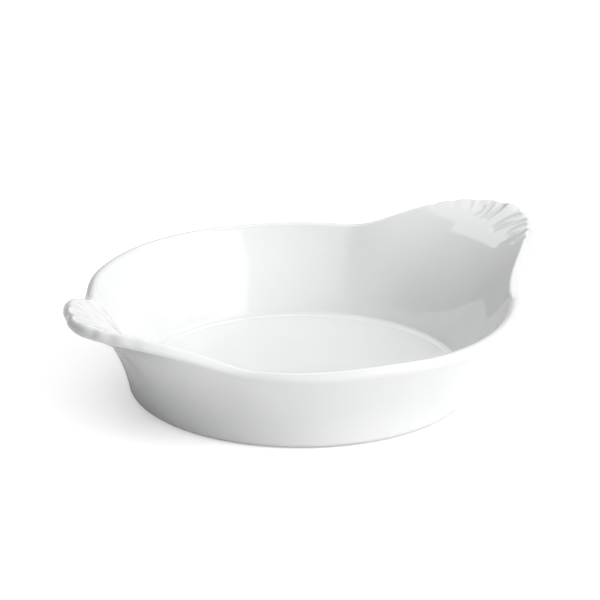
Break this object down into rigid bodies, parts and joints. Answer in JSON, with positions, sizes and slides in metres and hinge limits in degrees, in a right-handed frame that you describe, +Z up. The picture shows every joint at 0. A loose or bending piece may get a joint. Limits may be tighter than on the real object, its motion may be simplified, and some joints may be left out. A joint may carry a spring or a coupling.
{
  "type": "egg dish",
  "caption": "Round glazed porcelain egg dish with a flared wall, a flat floor, raised fluted ears and a bare foot ring, for baking and serving eggs.",
  "frame": {"origin": "centre of the foot ring's underside, which is the bottom centre of the part's box", "axes": "+Z up out of the bowl, the ears lie along +X and -X, and the plain sides of the rim along Y"},
  "size_m": [0.177, 0.14, 0.042],
  "materials": {
    "glaze": "clear gloss glaze over white porcelain",
    "biscuit": "bare, matt, ground smooth"
  },
  "bodies": {
    "root": {"dish": "glaze", "foot_ring": "biscuit"}
  },
  "joints": []
}
